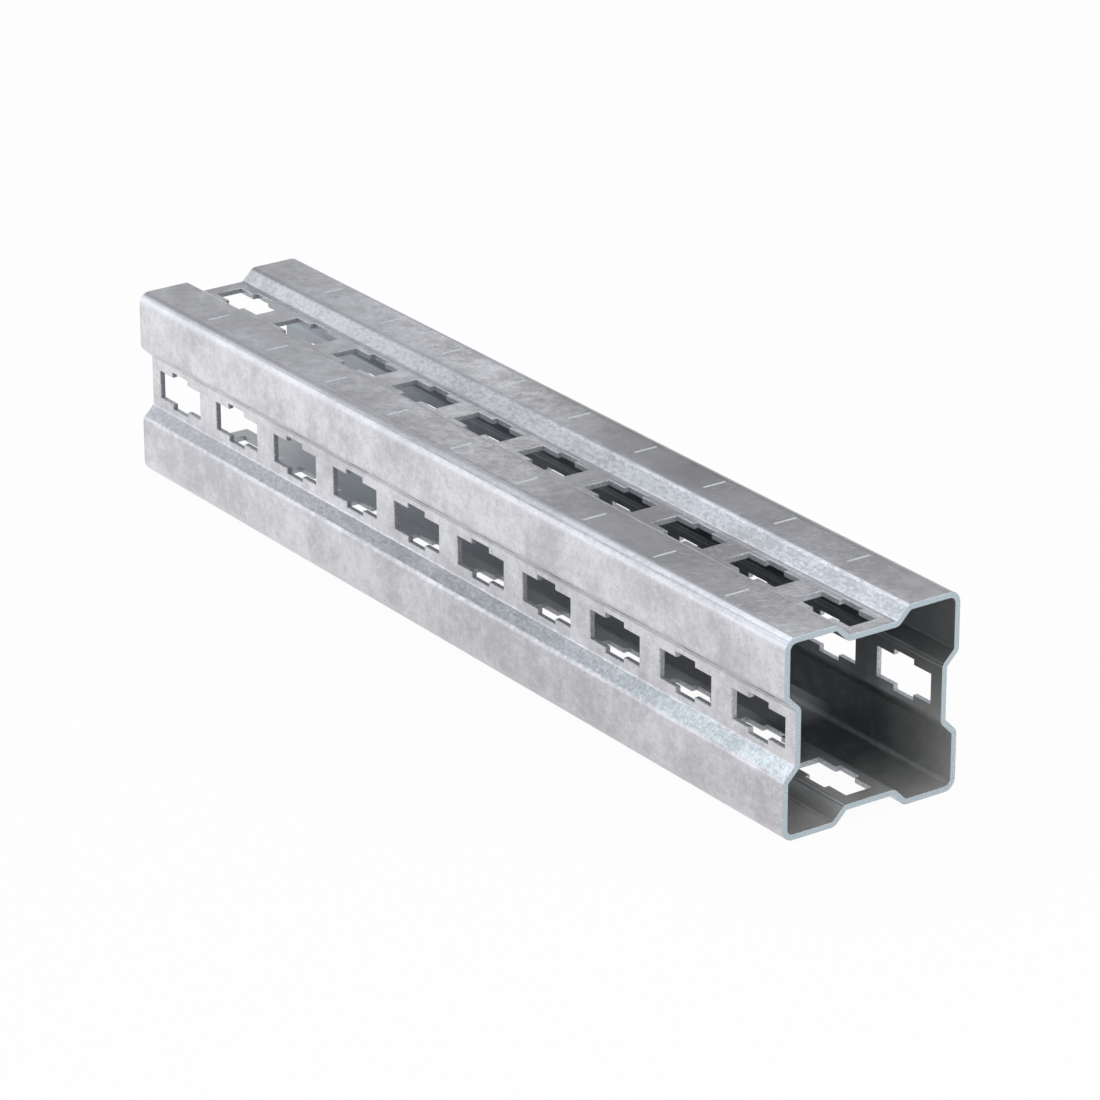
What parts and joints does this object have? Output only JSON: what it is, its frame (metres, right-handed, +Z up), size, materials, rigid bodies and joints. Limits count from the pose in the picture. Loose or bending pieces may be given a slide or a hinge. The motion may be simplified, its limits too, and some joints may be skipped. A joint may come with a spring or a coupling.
{
  "type": "slotted box strut profile",
  "caption": "Square galvanised steel strut profile, open at both ends, with a recessed middle on each side and cross-shaped slots at an even pitch.",
  "frame": {"origin": "middle of the underside: midway between the ends, on the plane of the lower strips", "axes": "+X along the profile towards the end nearest in the picture, +Y to the side away from the viewer, +Z up out of the side with the scored marks"},
  "size_m": [0.5, 0.09, 0.09],
  "materials": {
    "galvanised_steel": "hot-dip galvanised, dull"
  },
  "bodies": {
    "root": {"channel_profile": "galvanised_steel"}
  },
  "joints": []
}
